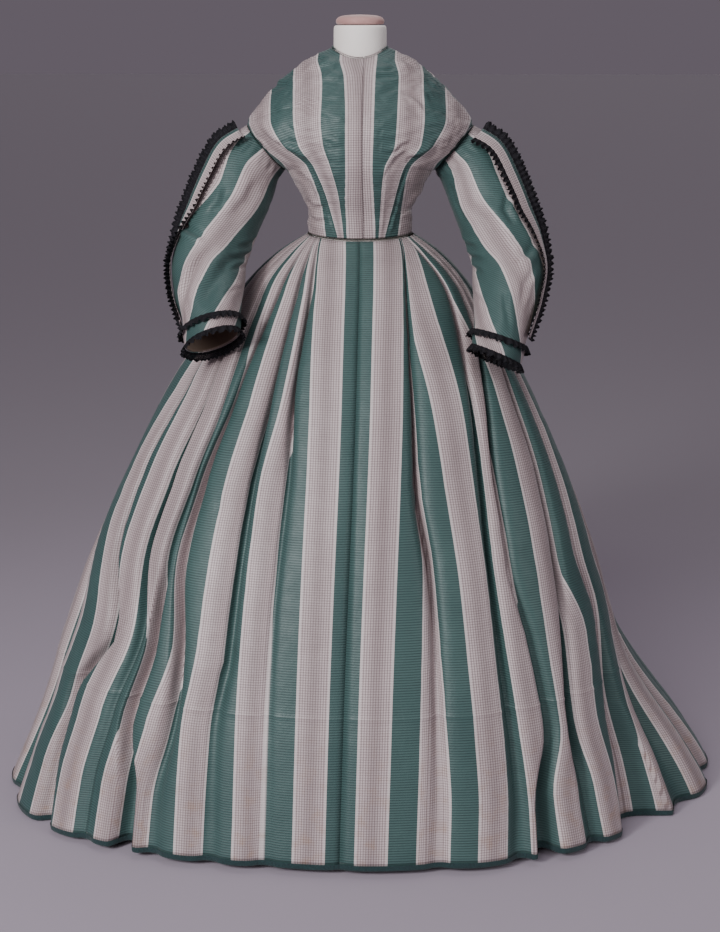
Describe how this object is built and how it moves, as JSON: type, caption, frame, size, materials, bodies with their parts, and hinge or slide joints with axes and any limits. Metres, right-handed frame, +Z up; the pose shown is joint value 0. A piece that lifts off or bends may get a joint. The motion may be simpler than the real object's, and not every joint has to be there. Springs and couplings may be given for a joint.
{
  "type": "victorian day dress on a limbless dress form",
  "caption": "Full-skirted striped silk day dress with black lace on the sleeves, on a limbless dress form.",
  "frame": {"origin": "centre of the form's base, on the floor", "axes": "+Z up along the form's pole, -Y towards the dress's front, +X towards the wearer's left"},
  "size_m": [1.3099, 1.3559, 1.376],
  "materials": {
    "striped_silk": "silk taffeta in wide green and cream stripes",
    "green_silk": "green silk taffeta",
    "hem_braid": "woollen braid",
    "black_lace": "gathered lace",
    "form_cover": "stretched cotton cover",
    "form_cap": "padded cap",
    "painted_metal": "satin"
  },
  "bodies": {
    "root": {"skirt_breadth_left_1": "striped_silk", "skirt_breadth_right_1": "striped_silk", "skirt_breadth_left_2": "striped_silk", "skirt_breadth_right_2": "striped_silk", "skirt_breadth_left_3": "striped_silk", "skirt_breadth_right_3": "striped_silk", "skirt_breadth_left_4": "striped_silk", "skirt_breadth_right_4": "striped_silk", "skirt_breadth_back": "striped_silk", "hem_braid_left_1": "hem_braid", "hem_braid_right_1": "hem_braid", "hem_braid_left_2": "hem_braid", "hem_braid_right_2": "hem_braid", "hem_braid_left_3": "hem_braid", "hem_braid_right_3": "hem_braid", "hem_braid_left_4": "hem_braid", "hem_braid_right_4": "hem_braid", "hem_braid_back": "hem_braid", "bodice_front_right": "striped_silk", "bodice_front_left": "striped_silk", "bodice_back": "striped_silk", "waist_piping": "striped_silk", "neck_piping": "striped_silk", "armhole_piping_right": "striped_silk", "sleeve_front_right": "striped_silk", "sleeve_back_right": "striped_silk", "sleeve_band_right": "striped_silk", "band_lace_back_right": "black_lace", "band_lace_front_right": "black_lace", "cuff_right": "green_silk", "cuff_lace_top_right": "black_lace", "cuff_lace_edge_right": "black_lace", "armhole_piping_left": "striped_silk", "sleeve_front_left": "striped_silk", "sleeve_back_left": "striped_silk", "sleeve_band_left": "striped_silk", "band_lace_back_left": "black_lace", "band_lace_front_left": "black_lace", "cuff_left": "green_silk", "cuff_lace_top_left": "black_lace", "cuff_lace_edge_left": "black_lace", "form_torso": "form_cover", "form_neck": "form_cover", "form_cap": "form_cap", "form_pole": "painted_metal", "form_base": "painted_metal"}
  },
  "joints": []
}
